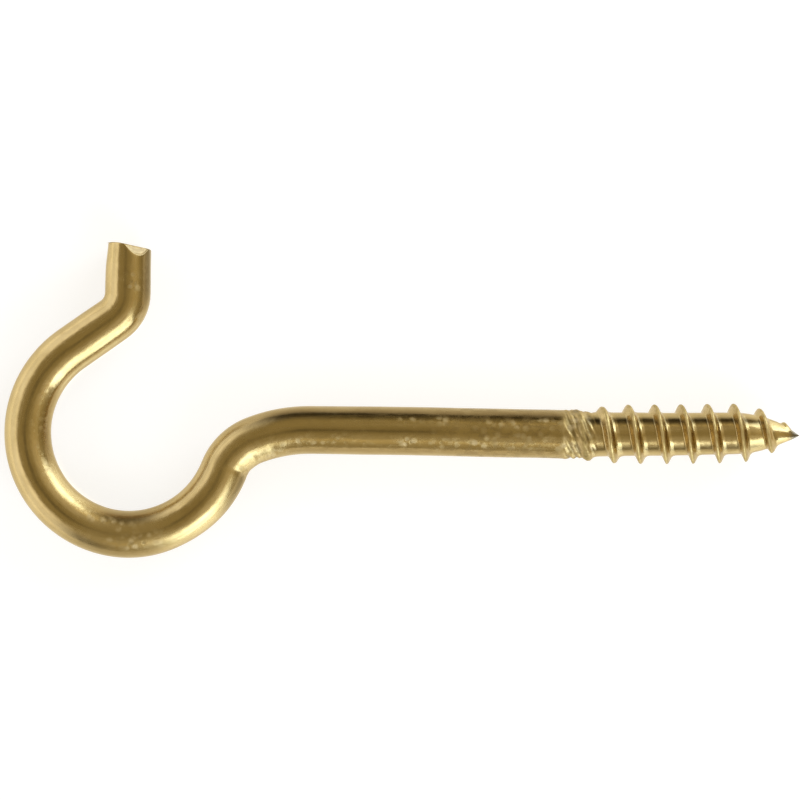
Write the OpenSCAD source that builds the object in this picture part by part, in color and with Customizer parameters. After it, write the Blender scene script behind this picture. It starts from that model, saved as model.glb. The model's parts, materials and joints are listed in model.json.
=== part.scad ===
// Screw hook formed from one length of round wire: a rolled wood-screw thread with a gimlet point,
// a plain shank, a neck of two bends, a round bowl and a short upright lip with a sheared end.
// It lies as it comes to rest, on a thread crest and the far side of the bowl.
// +X runs along the screw to its point, +Y to the lip, +Z up from the table at zero.

/* [Wire] */
// Diameter of the wire at the shank
wire_d = 4; // [3.95:0.05:4.4]
// Diameter at the lip, where the bending has drawn the wire thinner
lip_d = 3.74; // [3.5:0.02:3.86]

/* [Screw] */
// Length of the plain shank, from the neck to the thread
shank_len = 20.2; // [8:0.1:80]
// Length of the thread, point included
thread_len = 19.5; // [14:0.1:40]
// Diameter over the crests
thread_d = 4.9; // [4.6:0.05:6]
// Diameter of the core next to the shank
core_d = 3.65; // [3:0.05:3.75]
// Diameter of the core where the point begins
core_end_d = 3.4; // [2.6:0.05:3.6]
// Distance between neighbouring crests
pitch = 2.145; // [1.8:0.005:3]
// Width of the ridge's foot next to the shank
ridge_w = 1.4; // [0.8:0.05:1.5]
// Width of the ridge's foot where the point begins
ridge_end_w = 1.1; // [0.8:0.05:1.5]
// How far the foot sits off the crest, towards the point
ridge_lean = 0.1; // [0:0.02:0.16]
// Width of the flat along the crest
crest_w = 0.18; // [0.1:0.02:0.4]
// Length over which the crests rise to full height
rise_len = 6.5; // [4:0.1:8]
// Length of the shoulder that falls from the shank to the core
shoulder_len = 2; // [0.5:0.05:3]
// Length of the gimlet point
point_len = 5.65; // [3:0.05:8]
// Fullness of the point's sides: 1 is a straight cone
point_fullness = 2.15; // [1.2:0.05:2.5]
// Direction of the crest where the thread meets the shank, from +Y towards +Z
thread_phase = 153.5; // [0:0.5:359.5]

/* [Neck] */
// Centre-line radius of the easy bend next to the shank
easy_r = 12.4; // [8:0.1:20]
// Turn of the easy bend
easy_turn = 22; // [5:0.5:35]
// Centre-line radius of the tight bend next to the bowl
tight_r = 4.35; // [3:0.05:8]

/* [Bowl] */
// Clear diameter inside the bowl
bowl_d = 12.7; // [9:0.1:30]
// Angle that the bowl wraps round
bowl_wrap = 213.5; // [190:0.5:235]
// How far the middle of the bowl lies below the screw's line
bowl_drop = 0.41; // [0:0.01:1.5]

/* [Lip] */
// Straight run between the bowl and the lip's bend
lip_run = 4.2; // [2:0.1:10]
// Centre-line radius of the lip's bend
lip_bend_r = 2.7; // [2.4:0.05:5]
// Length of the lip past its bend, along the centre line
lip_len = 3.9; // [2:0.05:12]
// Slope of the sheared end
shear_slope = 11; // [0:0.5:25]
// Slope of the facet nipped off the upper right edge of the sheared end
nip_slope = 50; // [35:1:60]
// Lean of that facet towards the top
nip_lean = 48; // [35:1:60]
// How far down the lip the facet starts on its crown
nip_drop = 0.15; // [0:0.05:0.5]

/* [Hidden] */
$fn = 96;

// The wire is drawn a little thinner stage by stage, from the shank to the lip
SHANK = 0;
EASY_BEND = 1;
TIGHT_BEND = 2;
BOWL = 3;
LIP_RUN = 4;
LIP_BEND = 5;
LIP = 6;
function stage_r(stage) = (wire_d + (lip_d - wire_d) * stage / LIP) / 2;
// Each stage reaches this far into the thinner one that follows
lap = 0.1;

thread_r = thread_d / 2;
bowl_r = bowl_d / 2 + stage_r(BOWL);

// The neck turns until the bowl's middle reaches its place beside the screw's line
neck_rise = easy_r * (1 - cos(easy_turn)) + tight_r * cos(easy_turn);
neck_turn = acos((neck_rise - bowl_drop) / (tight_r + bowl_r));
tight_turn = neck_turn - easy_turn;
// The lip's bend sets the lip square to the screw
bowl_exit = 180 + neck_turn - bowl_wrap;
lip_turn = 90 - bowl_exit;

// Extents, measured from the end of the shank on the screw's line
bowl_x = -shank_len - (easy_r - tight_r) * sin(easy_turn) - (tight_r + bowl_r) * sin(neck_turn);
far_x = bowl_x - bowl_r;
lip_root_y = -bowl_drop + (bowl_r + lip_bend_r) * cos(bowl_exit) + lip_run * sin(bowl_exit);
top_y = lip_root_y + lip_len + stage_r(LIP) * tan(shear_slope);
bottom_y = -bowl_drop - bowl_r - stage_r(BOWL);

// The hook rests on its first full crest underneath and on the far side of the bowl
low_fraction = (270 - thread_phase) / 360;
low_crest_x = pitch * (ceil(rise_len / pitch - low_fraction) + low_fraction);
lie_tilt = asin((thread_r - stage_r(BOWL)) / (low_crest_x - far_x));
lie_lift = stage_r(BOWL) - far_x * sin(lie_tilt);

// The thread's skin is wound along its helix, with the ridge's section at every step
turn_steps = 28;
flank_steps = 3;
flank_hollow = 1.4;
section_points = 2 * (flank_steps + 1);
// It starts inside the shank, just under the surface, and its ridge fades out before the tip
skin_start_r = stage_r(SHANK) - 0.03;
buried_len = pitch + ridge_w;
tip_gap = 0.2;
fade_steps = 0.2 * turn_steps;
last_reach = tip_gap + ridge_end_w / 2 + ridge_lean;
last_step = floor((thread_len - last_reach + buried_len) / pitch * turn_steps);

function share(value, whole) = max(0, min(1, value / whole));

// Place of the ridge's middle at a step
function ridge_x(step) = pitch * step / turn_steps - buried_len;

// Climb of section point k up its flank: 0 at the foot, 1 at the crest
function climb(k) = min(k, section_points - 1 - k) / flank_steps;
function section_x(step, k) =
    let (foot_w = ridge_w + (ridge_end_w - ridge_w) * share(ridge_x(step), thread_len - point_len))
    let (width = foot_w + (crest_w - foot_w) * climb(k))
    (k <= flank_steps ? -1 : 1) * width / 2 + ridge_lean * (1 - climb(k));

// The point draws core and crest together to the tip
function point_scale(x) = 1 - pow(share(x - thread_len + point_len, point_len), point_fullness);

// Core and crest leave the shank's surface, the one down the shoulder, the other up the rise
function core_r(x) =
    let (full_d = core_d + (core_end_d - core_d) * share(x, thread_len - point_len))
    (skin_start_r + (full_d / 2 - skin_start_r) * share(x, shoulder_len)) * point_scale(x);
function crest_r(x) =
    (skin_start_r + (thread_r - skin_start_r) * sin(90 * share(x, rise_len))) * point_scale(x);

function skin_point(step, k) =
    let (x = ridge_x(step) + section_x(step, k))
    let (height = pow(climb(k), flank_hollow) * share(last_step - step, fade_steps))
    let (r = core_r(x) + (crest_r(x) - core_r(x)) * height)
    let (around = thread_phase + 360 * ridge_x(step) / pitch)
    [x, r * cos(around), r * sin(around)];

// Number of a skin point; past the section's end it is the next turn's first point
function skin_index(step, k) =
    k < section_points ? step * section_points + k : (step + turn_steps) * section_points;

// Number of point k along the skin's end: the foot one turn back, then the last section
function end_index(k) =
    k == 0 ? skin_index(last_step - turn_steps, section_points - 1) : skin_index(last_step, k - 1);

module thread() {
    last_k = section_points - 1;
    tail = (last_step + 1) * section_points;
    tip = tail + 1;
    skin_points = [
        for (step = [0 : last_step]) for (k = [0 : last_k]) skin_point(step, k),
        [ridge_x(0) - wire_d, 0, 0],
        [thread_len, 0, 0]
    ];
    skin_faces = [
        for (step = [0 : last_step - 1])
            for (k = [0 : last_k])
                if (k < last_k || step + 1 + turn_steps <= last_step)
                    each [
                        [skin_index(step, k), skin_index(step + 1, k + 1), skin_index(step + 1, k)],
                        [skin_index(step, k), skin_index(step, k + 1), skin_index(step + 1, k + 1)]
                    ],
        for (step = [0 : turn_steps - 1]) [tail, skin_index(step, 0), skin_index(step + 1, 0)],
        for (k = [0 : last_k]) [tail, skin_index(0, k + 1), skin_index(0, k)],
        for (step = [last_step - turn_steps : last_step - 1])
            [tip, skin_index(step + 1, last_k), skin_index(step, last_k)],
        for (k = [0 : last_k]) [tip, end_index(k), end_index(k + 1)]
    ];
    polyhedron(skin_points, skin_faces, convexity = 10);
}

// Straight wire along +X, with the next stage at its end
module run(stage, length) {
    rotate([0, 90, 0]) cylinder(r = stage_r(stage), h = length + lap);
    translate([length, 0, 0]) children();
}

// Bent wire that sets off along +X and turns left, or right where the turn is negative
module bend(stage, radius, turn) {
    side = sign(turn);
    swept = abs(turn) + lap / radius * 180 / PI;
    translate([0, side * radius, 0])
        rotate([0, 0, turn > 0 ? -90 : 90 - swept])
            rotate_extrude(angle = swept) translate([radius, 0]) circle(r = stage_r(stage));
    translate([radius * sin(abs(turn)), side * radius * (1 - cos(turn)), 0])
        rotate([0, 0, turn]) children();
}

// Everything past a plane whose outward side turns right by slope and leans up by lean
module beyond(slope, lean) {
    reach = 4 * wire_d;
    rotate([0, -lean, -slope])
        translate([0, -reach / 2, -reach / 2]) cube(reach);
}

// The lip, sheared on a slope and nipped at the upper right edge of the cut
module lip() {
    difference() {
        run(LIP, lip_len + wire_d);
        translate([lip_len, 0, 0]) beyond(shear_slope, 0);
        translate([lip_len - nip_drop, 0, stage_r(LIP)]) beyond(nip_slope, nip_lean);
    }
}

module wire() {
    rotate([0, 0, 180])
        run(SHANK, shank_len)
            bend(EASY_BEND, easy_r, easy_turn)
                bend(TIGHT_BEND, tight_r, tight_turn)
                    bend(BOWL, bowl_r, -bowl_wrap)
                        run(LIP_RUN, lip_run)
                            bend(LIP_BEND, lip_bend_r, lip_turn)
                                lip();
}

module hook() {
    color([0.66, 0.55, 0.30])
        translate([-(far_x - stage_r(BOWL) + thread_len) / 2, -(top_y + bottom_y) / 2, lie_lift])
            rotate([0, -lie_tilt, 0]) {
                wire();
                thread();
            }
}

hook();
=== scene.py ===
import json
from math import acos, cos, pi, radians, sin, sqrt, tan

import bmesh
import bpy
from mathutils import Matrix, Vector, noise


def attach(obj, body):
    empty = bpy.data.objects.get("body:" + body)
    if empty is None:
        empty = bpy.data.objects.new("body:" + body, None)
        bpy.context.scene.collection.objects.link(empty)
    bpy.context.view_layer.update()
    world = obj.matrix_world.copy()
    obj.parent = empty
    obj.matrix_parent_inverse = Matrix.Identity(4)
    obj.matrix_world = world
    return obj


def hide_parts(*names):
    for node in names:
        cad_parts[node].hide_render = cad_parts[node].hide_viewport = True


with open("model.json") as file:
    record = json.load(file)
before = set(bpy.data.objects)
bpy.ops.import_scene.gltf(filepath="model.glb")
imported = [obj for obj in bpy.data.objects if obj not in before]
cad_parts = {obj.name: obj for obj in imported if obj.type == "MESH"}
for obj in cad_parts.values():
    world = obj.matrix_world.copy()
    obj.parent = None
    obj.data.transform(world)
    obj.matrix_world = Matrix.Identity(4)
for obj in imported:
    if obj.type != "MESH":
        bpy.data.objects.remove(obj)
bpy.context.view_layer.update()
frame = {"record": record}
mm = 0.001

mounts = {mount["name"]: mount for mount in frame["record"]["mounts"]}
screw = mounts["screw_thread"]
seat = mounts["bowl_seat"]


def clamp(value):
    return max(0.0, min(1.0, value))


def ease(value):  # soft step from 0 to 1
    value = clamp(value)
    return value * value * (3 - 2 * value)


def between(points, x, shape=ease):  # curve through (place, value) points; clamp makes its lines straight
    if x <= points[0][0]:
        return points[0][1]
    for (x0, v0), (x1, v1) in zip(points, points[1:]):
        if x <= x1:
            return v0 + (v1 - v0) * shape((x - x0) / (x1 - x0))
    return points[-1][1]


def bell(*asides):  # 1 in the middle, falling away on both sides
    return 2.718 ** -sum(aside * aside for aside in asides)


def turnFrom(angle, direction):  # the short way round from a direction in degrees, in radians
    return (angle - radians(direction) + pi) % (2 * pi) - pi


# Sizes in mm and degrees, measured along the wire from the place where the thread starts
hook = {
    "wire": 4.0,
    "lipWire": 3.74,  # the bending has drawn it thinner
    "skin": 0.012,  # the looks stay this far inside the solid's box
    "wave": 0.012,  # the drawn wire is uneven by this much
    "waveAlong": 0.28,  # scale of the unevenness along the wire, then round it
    "waveAround": 0.5,
    "shank": 20.2,
    "easyRadius": 12.4,
    "easyTurn": 22.0,
    "tightRadius": 4.35,
    "bowlWrap": 213.5,
    "bowlDrop": 0.41,
    "lipRun": 4.2,
    "lipBendRadius": 2.7,
    "lip": 3.9,
    "shearSlope": 11.0,
    "nipSlope": 50.0,
    "nipLean": 48.0,
    "nipDrop": 0.15,
    "nipSoft": 0.1,
    "cornerRound": 0.26,  # the end's left corner is worn down by this much
    "cornerStart": 0.25,  # share of the radius at which that wear starts
    "cornerSteep": 1.8,
    "edgeRound": 0.10,
    "edgeRings": [1.0, 0.6, 0.3, 0.08, 0.0],  # shares of the edge that the last rings stay back
    "edgeCut": 0.6,  # how bare the metal is on the nipped edge, then on the sheared face
    "faceCut": 0.35,
    "faceRim": 0.985,
    "faceRings": 16,
    "segments": 72,
    "ringStep": 0.25,
    # the screw was rolled slightly out of line: sideways shift at places along the wire
    "sway": [
        (-19.5, 0.05), (-17.8, 0.18), (-15.4, 0.165), (-7.2, 0.0),
        (-1.4, -0.10), (2.0, -0.07), (13.0, 0.0)],
}

bowlRadius = seat["dims"]["r_mm"] + (hook["wire"] + hook["lipWire"]) / 4
easyTurn = radians(hook["easyTurn"])
neckRise = hook["easyRadius"] * (1 - cos(easyTurn)) + hook["tightRadius"] * cos(easyTurn)
neckTurn = acos((neckRise - hook["bowlDrop"]) / (hook["tightRadius"] + bowlRadius))
bowlExit = pi + neckTurn - radians(hook["bowlWrap"])

# Each leg of the wire: its length and its turn, left turns positive
legs = [
    (hook["shank"], 0.0),
    (hook["easyRadius"] * easyTurn, easyTurn),
    (hook["tightRadius"] * (neckTurn - easyTurn), neckTurn - easyTurn),
    (bowlRadius * radians(hook["bowlWrap"]), -radians(hook["bowlWrap"])),
    (hook["lipRun"], 0.0),
    (hook["lipBendRadius"] * (pi / 2 - bowlExit), pi / 2 - bowlExit),
    (hook["lip"], 0.0),
]
lastLeg = len(legs) - 1
wireLength = sum(length for length, turn in legs)
lipStart = wireLength - hook["lip"]


def wirePoint(along):  # place of the wire's middle line, and the way it heads there
    x, y, heading, left = 0.0, 0.0, pi, along
    for number, (length, turn) in enumerate(legs):
        step = left if number == lastLeg else min(left, length)
        if turn:
            bend = turn / length
            x += (sin(heading + bend * step) - sin(heading)) / bend
            y += (cos(heading) - cos(heading + bend * step)) / bend
            heading += bend * step
        else:
            x += step * cos(heading)
            y += step * sin(heading)
        left -= step
        if left <= 0:
            break
    shift = between(hook["sway"], along)
    return Vector((x + sin(heading) * shift, y - cos(heading) * shift, 0)), heading


# Radius of the wire at the middle of each leg, a little thinner every time
legMiddles, reached = [], 0.0
for number, (length, turn) in enumerate(legs):
    thinned = hook["wire"] + (hook["lipWire"] - hook["wire"]) * (number / lastLeg)
    legMiddles.append((reached + length / 2, thinned / 2 - hook["skin"]))
    reached += length
endRadius = between(legMiddles, wireLength)


def spotted(spots, size, limit, along, angle):  # what the spots add up to at a place on the wire
    total = 0.0
    for spot in spots:
        away = (along - spot["along"]) / spot["reach"]
        if abs(away) < limit:
            total += spot[size] * bell(away, turnFrom(angle, spot["round"]) / radians(spot["spread"]))
    return total


# Dents in the wire: place along it, direction round it (0 right of the run, 90 up), reach both ways, depth
dentLimit = 3.0
dents = [
    {"along": 23.6, "round": 134, "reach": 0.3, "spread": 20, "depth": 0.035},
    {"along": 25.8, "round": 140, "reach": 0.38, "spread": 20, "depth": 0.07},
    {"along": 28.0, "round": 135, "reach": 0.22, "spread": 62, "depth": 0.045},
    {"along": 27.2, "round": 165, "reach": 0.5, "spread": 40, "depth": 0.06},
    {"along": 34.2, "round": 180, "reach": 2.2, "spread": 30, "depth": 0.07},
    {"along": 70.3, "round": 180, "reach": 1.5, "spread": 55, "depth": 0.20},
]


def wireRadius(along, angle):
    around = hook["waveAround"]
    wave = noise.noise(Vector((along * hook["waveAlong"], cos(angle) * around, sin(angle) * around)))
    dented = between(legMiddles, along) - spotted(dents, "depth", dentLimit, along, angle)
    return dented - hook["wave"] * (1 + wave)


# Where the plating is pitted: place along the wire, direction round it, reach both ways, amount
pitLimit = 2.5
pittedEverywhere = 0.06
pitted = [
    {"along": 1.5, "round": 65, "reach": 1.1, "spread": 12, "amount": 1.0},
    {"along": 3.4, "round": 66, "reach": 0.5, "spread": 12, "amount": 0.9},
    {"along": 5.3, "round": 67, "reach": 0.7, "spread": 12, "amount": 0.9},
    {"along": 9.6, "round": 66, "reach": 0.6, "spread": 12, "amount": 0.9},
    {"along": 12.4, "round": 66, "reach": 0.8, "spread": 12, "amount": 1.0},
    {"along": 4.0, "round": 104, "reach": 4.0, "spread": 30, "amount": 0.4},
    {"along": 6.8, "round": 118, "reach": 1.0, "spread": 18, "amount": 0.7},
    {"along": 8.2, "round": 125, "reach": 0.5, "spread": 14, "amount": 1.0},
    {"along": 10.1, "round": 120, "reach": 0.8, "spread": 15, "amount": 1.0},
    {"along": 12.3, "round": 117, "reach": 0.8, "spread": 16, "amount": 1.0},
    {"along": 16.8, "round": 114, "reach": 1.4, "spread": 14, "amount": 0.6},
    {"along": 20.3, "round": 122, "reach": 2.0, "spread": 14, "amount": 0.9},
    {"along": 24.2, "round": 140, "reach": 1.6, "spread": 26, "amount": 0.55},
    {"along": 27.6, "round": 155, "reach": 1.2, "spread": 25, "amount": 0.5},
    {"along": 37.9, "round": 109, "reach": 1.8, "spread": 24, "amount": 1.0},
    {"along": 40.2, "round": 62, "reach": 2.0, "spread": 16, "amount": 0.9},
    {"along": 51.5, "round": 55, "reach": 4.0, "spread": 22, "amount": 0.4},
    {"along": 65.0, "round": 42, "reach": 1.8, "spread": 24, "amount": 0.45},
    {"along": 67.1, "round": 74, "reach": 0.7, "spread": 18, "amount": 1.0},
    {"along": -1.5, "round": 90, "reach": 1.2, "spread": 90, "amount": 0.9},
]


def pitting(along, angle):
    return min(pittedEverywhere + spotted(pitted, "amount", pitLimit, along, angle), 1.0)


# Painted shade on the sides of the wire, darker where they face these directions: direction that they face,
# round from +X, spread both ways, amount, and the middle and breadth of the band as shares of the radius out
# from the crown
paintedSideShade = {
    "bands": [
        {"facing": 0, "spread": 30, "amount": 0.85, "middle": 0.82, "breadth": 0.13},
        {"facing": 90, "spread": 28, "amount": 1.0, "middle": 0.76, "breadth": 0.20},
        {"facing": 264, "spread": 24, "amount": 0.6, "middle": 0.80, "breadth": 0.16},
    ],
    "uneven": 0.25,
    "unevenAlong": 0.4,
    "reach": [(-0.8, 0.0), (0.4, 1.0)],  # the thread has none
}


# painted shade on the wire's sides, by the direction that they face
def tarnish(along, angle, heading):
    facing = heading - pi / 2 if cos(angle) > 0 else heading + pi / 2
    total = 0.0
    for band in paintedSideShade["bands"]:
        turned = turnFrom(facing, band["facing"]) / radians(band["spread"])
        total += band["amount"] * bell(turned, (abs(cos(angle)) - band["middle"]) / band["breadth"])
    place = Vector((along * paintedSideShade["unevenAlong"], cos(angle), sin(angle)))
    uneven = 1 + paintedSideShade["uneven"] * noise.noise(place)
    return clamp(total * uneven) * between(paintedSideShade["reach"], along)


def lineAt(line, angle):
    return bell((angle - radians(line["round"])) / radians(line["spread"]))


# Painted shade in the thread's roots, on both sides of the crown
rootShade = {
    "sides": [{"round": 51, "spread": 13, "amount": 1.0}, {"round": 132, "spread": 11, "amount": 0.55}],
    "reach": [(1.2, 0.0), (2.4, 1.0), (15.5, 1.0), (17.5, 0.0)],
    "ridgeShare": 0.35,  # it stops at this share of the ridge's height
}


# painted shade in the thread's roots
def grime(fromStart, angle, ridge):
    film = clamp(sum(side["amount"] * lineAt(side, angle) for side in rootShade["sides"]))
    return film * (1 - ease(ridge / rootShade["ridgeShare"])) * between(rootShade["reach"], fromStart)


# Painted shade in dark lines along the wire: direction round it, spread, strength at places along it
paintedLines = [
    {"round": 90, "spread": 5, "strength": [(8.0, 0.0), (12.0, 0.4), (21.0, 0.4), (24.0, 0.0)]},
    {"round": 46, "spread": 7, "strength": [
        (-0.8, 0.0), (0.3, 0.55), (4.0, 0.55), (6.0, 0.25), (9.0, 0.25),
        (13.5, 0.6), (17.0, 0.8), (22.0, 0.8), (25.0, 0.0)]},
    {"round": 152, "spread": 16, "strength": [(27.9, 0.0), (28.5, 0.6), (30.2, 0.5), (32.0, 0.0)]},
    {"round": 22, "spread": 18, "strength": [(64.9, 0.0), (66.6, 0.65)]},
]


# painted shade along dark lines on the wire
def paintedLinesAt(along, angle):
    return sum(between(line["strength"], along) * lineAt(line, angle) for line in paintedLines)


thread = {
    "length": screw["dims"]["length_mm"],
    "crest": screw["dims"]["r_mm"] - hook["skin"],
    "core": 1.825,
    "coreEnd": 1.70,
    "pitch": 2.145,
    # section of the ridge: place from the crest towards the point, share of the height
    "ridge": [
        (-0.44, 0.0), (-0.33, 0.07), (-0.06, 0.93), (0.0, 1.0), (0.11, 0.94),
        (0.18, 0.82), (0.37, 0.22), (0.53, 0.05), (0.74, 0.0)],
    "ridgeBehind": 0.4,  # share of the pitch behind a crest that counts as its own
    "ridgeSoft": 0.03,
    "ridgeSpread": [(0.0, 1.3), (11.0, 1.0)],  # broader next to the shank
    "rise": 6.5,
    "riseCurve": 1.3,
    "wearRise": 2.0,  # the crests' wear and the painted shade in the roots grow over this length
    "shoulderStart": 1.0,
    "shoulder": 1.6,
    "point": 5.65,
    "fullness": 2.15,
    "phase": radians(153.5),
    "ridgeEnd": 0.7,  # the ridge stops this far from the tip
    "fadeTurns": 0.2,
    "lead": 1.0,  # the fine rings reach this far up the shank
    # rolling marks where the thread runs out
    "chatter": 0.085,
    "marksReach": [(0.2, 0.0), (0.7, 1.0), (2.2, 1.0), (3.2, 0.0)],
    "marksSlant": 1.1,
    "marksAlong": 3.4,
    "marksAround": 1.7,
    "marksSunk": 0.35,
    "marksDepth": 1.3,
    # how much darker the rolling marks are where they sink deepest
    "marksGrime": 0.5,
    "marksHollow": 0.35,
}


def threadRadius(fromStart, angle):  # radius, height of the ridge, and how much darker a rolling mark is where it sinks
    t = thread
    lead = fromStart - t["pitch"] * (angle - t["phase"]) / (2 * pi)
    behind = t["pitch"] * t["ridgeBehind"]
    offset = (lead + behind) % t["pitch"] - behind
    ridgeAt = fromStart - offset
    spread = between(t["ridgeSpread"], ridgeAt)
    shifts = (-t["ridgeSoft"], 0, t["ridgeSoft"])
    height = sum(between(t["ridge"], offset / spread + shift, clamp) for shift in shifts) / len(shifts)
    height *= clamp((t["length"] - t["ridgeEnd"] - ridgeAt) / (t["fadeTurns"] * t["pitch"]))
    taper = 1 - clamp((fromStart - t["length"] + t["point"]) / t["point"]) ** t["fullness"]
    skin = wireRadius(0, angle)
    core = t["core"] + (t["coreEnd"] - t["core"]) * clamp(fromStart / (t["length"] - t["point"]))
    core = (skin + (core - skin) * clamp((fromStart - t["shoulderStart"]) / t["shoulder"])) * taper
    risen = sin(pi / 2 * clamp(fromStart / t["rise"])) ** t["riseCurve"]
    crest = (skin + (t["crest"] - skin) * risen) * taper
    radius = core + (crest - core) * height
    runOut = between(t["marksReach"], fromStart)
    hollow = 0.0
    if runOut > 0:
        slanted = fromStart + t["marksSlant"] * cos(angle)
        around = t["marksAround"]
        marks = noise.noise(Vector((slanted * t["marksAlong"], cos(angle) * around, sin(angle) * around)))
        radius -= t["chatter"] * runOut * (t["marksSunk"] + t["marksDepth"] * marks)
        hollow = t["marksGrime"] * runOut * clamp(marks / t["marksHollow"])
    return radius, height * clamp(fromStart / t["wearRise"]), hollow


def lipEnd(left, up):  # how far the lip reaches at a place in its section, and whether it is nipped there
    radius = hook["lipWire"] / 2
    worn = hook["cornerRound"] * clamp(left / radius - hook["cornerStart"]) ** 2 * hook["cornerSteep"]
    shear = hook["lip"] + left * tan(radians(hook["shearSlope"])) - worn
    lean, slope = radians(hook["nipLean"]), radians(hook["nipSlope"])
    out = Vector((cos(lean) * cos(slope), -cos(lean) * sin(slope), sin(lean)))
    nip = hook["lip"] - hook["nipDrop"] - (out.y * left + out.z * (up - radius)) / out.x
    gap, soft = shear - nip, hook["nipSoft"]
    reach = min(shear, nip)
    if abs(gap) < soft:
        reach -= (soft - abs(gap)) ** 2 / (4 * soft)
    return reach, ease(gap / soft)


axis = Vector(screw["axis"])
across = Vector((0, 1, 0))
standing = Matrix((axis, across, axis.cross(across))).transposed()
threadStart = Vector(screw["pos_m"])


def inFrame(point):  # from the hook's own axes in mm to the frame in metres
    return threadStart + standing @ (point * mm)


def buildHook():
    mesh = bmesh.new()
    placeLayer = mesh.verts.layers.float_vector.new("wirePlace")
    ridgeLayer = mesh.verts.layers.float.new("ridgeHeight")
    pitLayer = mesh.verts.layers.float.new("pitted")
    sideShadeLayer = mesh.verts.layers.float.new("tarnished")
    shadeLayer = mesh.verts.layers.float.new("grimy")
    cutLayer = mesh.verts.layers.float.new("cutFace")
    count = hook["segments"]
    angles = [2 * pi * k / count for k in range(count)]

    def vertex(along, angle, radius, ridge=0.0, hollow=0.0, cut=0.0):
        centre, heading = wirePoint(along)
        side = Vector((sin(heading), -cos(heading), 0))
        point = centre + side * (radius * cos(angle)) + Vector((0, 0, radius * sin(angle)))
        made = mesh.verts.new(inFrame(point))
        made[placeLayer] = (along, radius * cos(angle), radius * sin(angle))
        made[ridgeLayer] = ridge
        made[pitLayer] = pitting(along, angle)
        # painted shade on the sides
        made[sideShadeLayer] = 0.0 if cut else tarnish(along, angle, heading)
        # painted shade in the roots and along dark lines, and the darker rolling marks
        made[shadeLayer] = grime(-along, angle, ridge) + paintedLinesAt(along, angle) + hollow
        made[cutLayer] = cut
        return made

    rings = []
    # the thread: the rings step with the helix, so a ridge runs along the mesh's diagonals
    step = thread["pitch"] / count
    threadRings = int((thread["length"] + thread["lead"]) / step)
    for number in range(1, threadRings):
        fromStart = thread["length"] - number * step
        ring = []
        for angle in angles:
            radius, ridge, hollow = threadRadius(fromStart, angle)
            ring.append(vertex(-fromStart, angle, radius, ridge, hollow))
        rings.append(ring)
    threadEnd = len(rings)
    # shank, neck, bowl and the lip's bend
    along = -(thread["length"] - (threadRings - 1) * step) + hook["ringStep"] / 2
    while along < lipStart - hook["ringStep"] / 2:
        rings.append([vertex(along, angle, wireRadius(along, angle)) for angle in angles])
        along += hook["ringStep"]

    # the lip: the rings close up towards its slanted end, with a soft edge
    edge = hook["edgeRound"]
    lipRings = round(hook["lip"] / hook["ringStep"])
    backs = [edge * share for share in hook["edgeRings"]]
    for number in range(lipRings + len(backs)):
        ring = []
        for angle in angles:
            reach, nipped = lipEnd(-endRadius * cos(angle), endRadius * sin(angle))
            if number < lipRings:
                far = (reach - edge) * number / lipRings
                radius = wireRadius(lipStart + far, angle)
            else:
                back = backs[number - lipRings]
                far = reach - back
                radius = wireRadius(lipStart + far, angle) - edge + sqrt(edge ** 2 - (edge - back) ** 2)
            cut = hook["edgeCut"] * nipped if number > lipRings else 0.0
            ring.append(vertex(lipStart + far, angle, radius, cut=cut))
        rings.append(ring)
    # the sheared face, ring by ring to its middle
    faceRings = hook["faceRings"]
    for share in [hook["faceRim"]] + [number / faceRings for number in range(faceRings - 1, 0, -1)]:
        ring = []
        for angle in angles:
            radius = share * (endRadius - edge)
            far, nipped = lipEnd(-radius * cos(angle), radius * sin(angle))
            cut = hook["faceCut"] + (1 - hook["faceCut"]) * nipped
            ring.append(vertex(lipStart + far, angle, radius, cut=cut))
        rings.append(ring)

    for number, (ring, following) in enumerate(zip(rings, rings[1:])):
        for k in range(count):
            a, b = ring[k], ring[(k + 1) % count]
            c, d = following[(k + 1) % count], following[k]
            if number < threadEnd:
                mesh.faces.new((a, b, d))
                mesh.faces.new((b, c, d))
            else:
                mesh.faces.new((a, b, c, d))
    tip = vertex(-thread["length"], 0, 0)
    cap = vertex(lipStart + lipEnd(0, 0)[0], 0, 0, cut=hook["faceCut"])
    for k in range(count):
        mesh.faces.new((tip, rings[0][(k + 1) % count], rings[0][k]))
        mesh.faces.new((cap, rings[-1][k], rings[-1][(k + 1) % count]))
    bmesh.ops.recalc_face_normals(mesh, faces=mesh.faces)
    for face in mesh.faces:
        face.smooth = True
    data = bpy.data.meshes.new("wireHook")
    mesh.to_mesh(data)
    mesh.free()
    piece = bpy.data.objects.new("wireHook", data)
    bpy.context.collection.objects.link(piece)
    return piece


class Flow:
    def __init__(self, tree, socket=None):
        self.tree, self.socket = tree, socket

    def add(self, kind, settings, sockets, out=0):
        node = self.tree.nodes.new("ShaderNode" + kind)
        for name, value in settings.items():
            setattr(node, name, value)
        for name, value in sockets.items():
            if isinstance(value, Flow):
                self.tree.links.new(value.socket, node.inputs[name])
            else:
                node.inputs[name].default_value = value
        return Flow(self.tree, node.outputs[out] if node.outputs else None)

    def calc(self, operation, a, b):
        return self.add("Math", {"operation": operation}, {0: a, 1: b})

    def __add__(self, other):
        return self.calc("ADD", self, other)

    def __sub__(self, other):
        return self.calc("SUBTRACT", self, other)

    def __rsub__(self, other):
        return self.calc("SUBTRACT", other, self)

    def __mul__(self, other):
        return self.calc("MULTIPLY", self, other)

    __radd__ = __add__
    __rmul__ = __mul__


def softStep(flow, value, low, high):
    sockets = {"Value": value, "From Min": low, "From Max": high}
    return flow.add("MapRange", {"interpolation_type": "SMOOTHSTEP"}, sockets)


def newMaterial(name):
    material = bpy.data.materials.new(name)
    material.use_nodes = True
    material.node_tree.nodes.clear()
    return material, Flow(material.node_tree)


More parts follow.
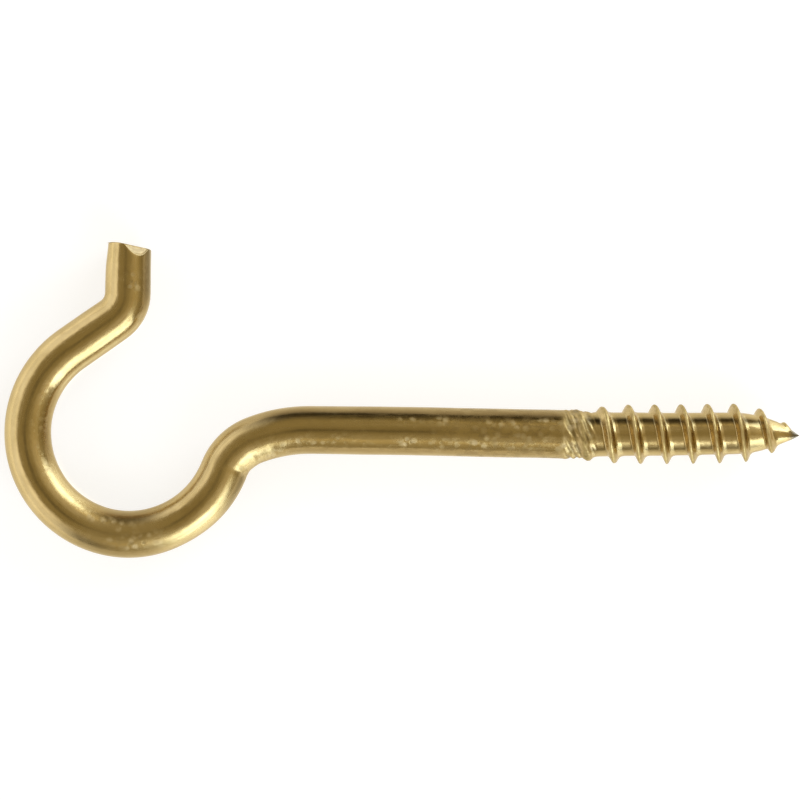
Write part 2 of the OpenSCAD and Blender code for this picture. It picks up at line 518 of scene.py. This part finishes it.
plating = {
    "brass": (0.53, 0.395, 0.17, 1),
    "dull": (0.43, 0.31, 0.115, 1),
    # tone of the flecks, partly a painted glint
    "pale": (0.66, 0.53, 0.29, 1),
    "pit": (0.20, 0.13, 0.045, 1),
    "worn": (0.47, 0.36, 0.14, 1),
    # tone of the painted shade on the sides
    "tarnish": (0.25, 0.165, 0.06, 1),
    # tone of the painted shade in the roots and along dark lines, which also darkens the rolling marks
    "grime": (0.05, 0.032, 0.010, 1),
    "tip": (0.15, 0.14, 0.12, 1),
    "cut": (0.50, 0.38, 0.20, 1),
    "edgeTint": (1.0, 0.95, 0.82, 1),
    # what is laid over the plain brass, in this order: how strongly, and in which tone
    "toned": {
        "cloud": (0.55, "dull"), "streak": (0.45, "dull"), "mottle": (0.5, "pit"), "rolled": (0.6, "dull"),
        "tarnished": (0.95, "tarnish"), "grimy": (0.9, "grime"), "pits": (0.5, "pit"),
        "flecks": (0.75, "pale"), "crest": (0.5, "worn"), "tip": (0.85, "tip"), "cut": (1.0, "cut")},
    "coat": 0.06,
    "coatRoughness": 0.12,
    "coatIor": 1.5,
    "roughness": 0.175,
    # what is rougher than the plain plating, and by how much
    "rougher": {
        "streak": 0.10, "cloud": 0.05, "mottle": 0.12, "pits": 0.2, "flecks": 0.30, "ridge": 0.05,
        "cut": 0.35, "rolled": 0.2, "neck": 0.05, "bowl": 0.10},
    "crestRougher": 0.08,
    "scuffRougher": 0.22,
    # height of the fine relief, and each part's share of it
    "ripple": 0.00006,
    "relief": {"cloud": 0.9, "streak": 0.10, "pits": 0.14, "flecks": 0.06},
    # grain: scale along the wire and across it, detail, roughness
    "cloudGrain": (0.35, 0.6, 3, 0.5),
    "streakGrain": (0.14, 3.4, 2, 0.5),
    "clusterGrain": (0.7, 1.2, 1, 0.5),
    "mottleGrain": (1.3, 2.0, 2, 0.6),
    "scuffGrain": (2.2, 2.2, 1, 0.5),
    # where in the grain, or up the ridge, each effect starts and is full
    "cloudTone": (0.38, 0.66),
    "cloudRough": (0.4, 0.7),
    "streakTone": (0.48, 0.70),
    "streakRough": (0.45, 0.75),
    "clusterEdge": (0.40, 0.60),
    "clusterBase": 0.3,
    "mottleEdge": (0.46, 0.62),
    "mottleBase": 0.12,
    "mottleHandled": 0.6,
    "scuffEdge": (0.40, 0.60),
    "ridgeRough": (0.02, 0.5),
    "crestTone": (0.65, 0.95),
    "crestRough": (0.55, 0.9),
    "tipTone": (1.1, 0.4),  # distances from the tip
    # round spots: scale and size, and the share of the size that is solid
    "pitDots": (2.3, 0.55),
    "fleckDots": (1.55, 0.58),
    "solid": 0.35,
    # stretches of the wire: start, full, still full, end
    "rolled": (-3.2, -2.2, -0.5, 0.2),
    "handled": (-0.6, 0.4, 7.0, 13.0),
    "neck": (22.0, 25.0, 30.0, 33.0),
    "bowl": (33.0, 36.5, 40.5, 44.0),
}


def brassPlating():
    material, flow = newMaterial("brassPlating")
    p, relief = plating, plating["relief"]
    place = flow.add("Attribute", {"attribute_name": "wirePlace"}, {}, "Vector")
    along = flow.add("SeparateXYZ", {}, {0: place})

    def layer(name):
        return flow.add("Attribute", {"attribute_name": name}, {}, "Fac")

    def step(value, limits):
        return softStep(flow, value, *limits)

    def grain(lengthwise, crosswise, detail, rough):
        scale = (lengthwise, crosswise, crosswise)
        stretched = flow.add("VectorMath", {"operation": "MULTIPLY"}, {0: place, 1: scale})
        sockets = {"Vector": stretched, "Scale": 1.0, "Detail": detail, "Roughness": rough}
        return flow.add("TexNoise", {}, sockets)

    def dots(scale, size):  # round spots scattered through the wire
        spread = flow.add("TexVoronoi", {}, {"Vector": place, "Scale": scale}, "Distance")
        return 1 - step(spread, (size * p["solid"], size))

    def stretch(start, full, fading, end):
        return step(along, (start, full)) * (1 - step(along, (fading, end)))

    def blend(mask, a, b):
        return flow.add("Mix", {"data_type": "RGBA"}, {0: mask, 6: a, 7: b}, 2)

    ridge, patches, cut = layer("ridgeHeight"), layer("pitted"), layer("cutFace")
    cloud, streak = grain(*p["cloudGrain"]), grain(*p["streakGrain"])
    clusters = p["clusterBase"] + step(grain(*p["clusterGrain"]), p["clusterEdge"]) * (1 - p["clusterBase"])
    pits = dots(*p["pitDots"]) * patches * clusters
    # pale flecks in the pitted plating, their paleness partly a painted glint
    flecks = dots(*p["fleckDots"]) * patches * clusters
    handled = p["mottleBase"] + stretch(*p["handled"]) * p["mottleHandled"]
    mottle = step(grain(*p["mottleGrain"]), p["mottleEdge"]) * handled
    scuff = step(grain(*p["scuffGrain"]), p["scuffEdge"])
    tipLimits = [thread["length"] - back for back in p["tipTone"]]
    masks = {"mottle": mottle, "pits": pits, "flecks": flecks, "cut": cut, "rolled": stretch(*p["rolled"])}
    tones = {
        **masks,
        "cloud": step(cloud, p["cloudTone"]),
        "streak": step(streak, p["streakTone"]),
        # painted shade on the sides
        "tarnished": layer("tarnished"),
        # painted shade in the roots and along dark lines, and the darker rolling marks
        "grimy": layer("grimy"),
        "crest": step(ridge, p["crestTone"]),
        "tip": step(0.0 - along, tipLimits),
    }
    rough = {
        **masks,
        "cloud": step(cloud, p["cloudRough"]),
        "streak": step(streak, p["streakRough"]),
        "ridge": step(ridge, p["ridgeRough"]),
        "neck": stretch(*p["neck"]),
        "bowl": stretch(*p["bowl"]),
    }

    colour = p["brass"]
    for name, (amount, tone) in p["toned"].items():
        colour = blend(tones[name] * amount, colour, p[tone])
    roughness = p["roughness"] + step(ridge, p["crestRough"]) * (p["crestRougher"] + scuff * p["scuffRougher"])
    for name, amount in p["rougher"].items():
        roughness = roughness + rough[name] * amount
    height = cloud * relief["cloud"] + streak * relief["streak"]
    height = height - pits * relief["pits"] + flecks * relief["flecks"]
    normal = flow.add("Bump", {}, {"Strength": 1.0, "Distance": p["ripple"], "Height": height})

    shader = flow.add("BsdfPrincipled", {}, {
        "Base Color": colour,
        "Metallic": 1.0,
        "Roughness": roughness,
        "Coat Weight": p["coat"],
        "Coat Roughness": p["coatRoughness"],
        "Coat IOR": p["coatIor"],
        "Specular Tint": p["edgeTint"],
        "Normal": normal,
    })
    flow.add("OutputMaterial", {}, {"Surface": shader})
    return material


wireHook = buildHook()
wireHook.data.materials.append(brassPlating())
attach(wireHook, "root")
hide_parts("hook")
print("hook built,", len(wireHook.data.polygons), "faces")

# Sizes in metres, directions in degrees
studio = {
    "floorSize": 3.0,
    "floorColour": (0.42, 0.42, 0.42, 1),
    "floorRoughness": 0.10,
    "floorIor": 2.3,  # a polished sheet
    "floorGlow": 0.73,
    "white": (1, 1, 1, 1),
    "dim": (1.0, 0.83, 0.47, 1),  # warm tone of the room
    "pale": (0.85, 0.88, 1.0, 1),  # daylight on the left wall and round the boxes
    "daylight": (0.66, 0.79, 1.0),
    "warm": (1.0, 0.86, 0.55),
    "room": 0.125,
    # parts of the room: direction round from +X, tilt off the vertical, and where the soft edge starts and
    # ends, as cosines of the angle from that direction, or for the lens as the angle itself
    "above": 0.27,
    "aboveAt": (0, 0, 0.30, 0.75),
    "right": 0.30,
    "rightAt": (0, 90, 0.05, 0.90),
    "lens": 0.21,  # how much darker it is round the camera
    "lensAt": (195, 10, 10, 3),
    "wallGlow": 1.5,
    "wallAt": (174, 90, 0.28, 0.62),
    "wallTopAt": (115, 8, 0.62, 0.76),  # the wall stops below this
    "boxGlow": 0.32,  # soft light round the two boxes
    "boxesAt": [(45, 42, 0.86, 0.99), (306, 42, 0.86, 0.99)],
    # lamps: direction round from +X, height above the floor, distance, width, height, brightness, tone
    "lamps": {
        "rightBackBox": (45, 20, 0.6, 0.40, 0.38, 4.2, "daylight"),
        "rightFrontBox": (303, 23, 0.6, 0.40, 0.46, 4.2, "daylight"),
        "frontPanel": (268, 24, 0.6, 0.36, 0.50, 0.36, "warm"),
        "backPanel": (72, 24, 0.6, 0.20, 0.50, 0.60, "warm"),
    },
}


def leaning(around, tilt):  # direction tilted off the vertical
    around, tilt = radians(around), radians(tilt)
    return Vector((sin(tilt) * cos(around), sin(tilt) * sin(around), cos(tilt)))


def buildFloor():
    bpy.ops.mesh.primitive_plane_add(size=studio["floorSize"])
    floor = bpy.context.object
    floor.name = "floor"
    material, flow = newMaterial("paleFloor")
    kinds = ("Camera", "Glossy", "Transmission")
    camera, glossy, transmission = (flow.add("LightPath", {}, {}, f"Is {kind} Ray") for kind in kinds)
    seen = camera + glossy + transmission
    matt = flow.add("BsdfPrincipled", {}, {
        "Base Color": studio["floorColour"],
        "Roughness": studio["floorRoughness"],
        "IOR": studio["floorIor"],
    })
    glow = flow.add("Emission", {}, {"Color": studio["white"], "Strength": seen * studio["floorGlow"]})
    both = flow.add("AddShader", {}, {0: matt, 1: glow})
    flow.add("OutputMaterial", {}, {"Surface": both})
    floor.data.materials.append(material)


def buildRoom():  # dim round about, brighter above and to the right, a pale wall on the left
    world = bpy.data.worlds.new("studio")
    world.use_nodes = True
    world.node_tree.nodes.clear()
    room = Flow(world.node_tree)
    toward = room.add("TexCoord", {}, {}, "Generated")

    def part(around, tilt, low, high):  # 1 where the direction leans that way, with a soft edge
        sockets = {0: toward, 1: leaning(around, tilt)}
        lean = room.add("VectorMath", {"operation": "DOT_PRODUCT"}, sockets, "Value")
        return softStep(room, lean, low, high)

    around, tilt, start, full = studio["lensAt"]
    lens = part(around, tilt, cos(radians(start)), cos(radians(full)))
    level = studio["room"] + part(*studio["aboveAt"]) * studio["above"] - lens * studio["lens"]
    level = level + part(*studio["rightAt"]) * studio["right"]
    day = part(*studio["wallAt"]) * (1 - part(*studio["wallTopAt"])) * studio["wallGlow"]
    for box in studio["boxesAt"]:
        day = day + part(*box) * studio["boxGlow"]
    dimLight = room.add("Background", {}, {"Color": studio["dim"], "Strength": level})
    dayLight = room.add("Background", {}, {"Color": studio["pale"], "Strength": day})
    sky = room.add("AddShader", {}, {0: dimLight, 1: dayLight})
    room.add("OutputWorld", {}, {"Surface": sky})
    bpy.context.scene.world = world


def buildLamps():
    for name, (around, height, distance, width, tall, brightness, tone) in studio["lamps"].items():
        data = bpy.data.lights.new(name, "AREA")
        data.shape = "RECTANGLE"
        data.size, data.size_y = width, tall
        data.energy = brightness * pi * width * tall
        data.color = studio[tone]
        lamp = bpy.data.objects.new(name, data)
        outward = leaning(around, 90 - height)
        lamp.location = outward * distance
        lamp.rotation_euler = outward.to_track_quat("Z", "Y").to_euler()
        lamp.visible_camera = False
        bpy.context.collection.objects.link(lamp)


# Sizes in mm and degrees: what the camera aims at, how high that is, and how wide it sees there
view = {
    "aim": (-0.134, 0.220),
    "height": 2.2,
    "width": 65.12,
    "turn": 0.733,
    "lens": 150.0,
    "sensor": 36.0,
    "near": 10.0,
}


def buildCamera():
    data = bpy.data.cameras.new("camera")
    data.lens, data.sensor_width = view["lens"], view["sensor"]
    data.clip_start = view["near"] * mm
    camera = bpy.data.objects.new("camera", data)
    distance = view["width"] * view["lens"] / view["sensor"]
    camera.location = Vector((*view["aim"], view["height"] + distance)) * mm
    camera.rotation_euler = (0, 0, radians(view["turn"]))
    bpy.context.collection.objects.link(camera)
    bpy.context.scene.camera = camera


buildFloor()
buildRoom()
buildLamps()
buildCamera()
bpy.context.scene.view_settings.view_transform = "Standard"
print("studio and camera set")
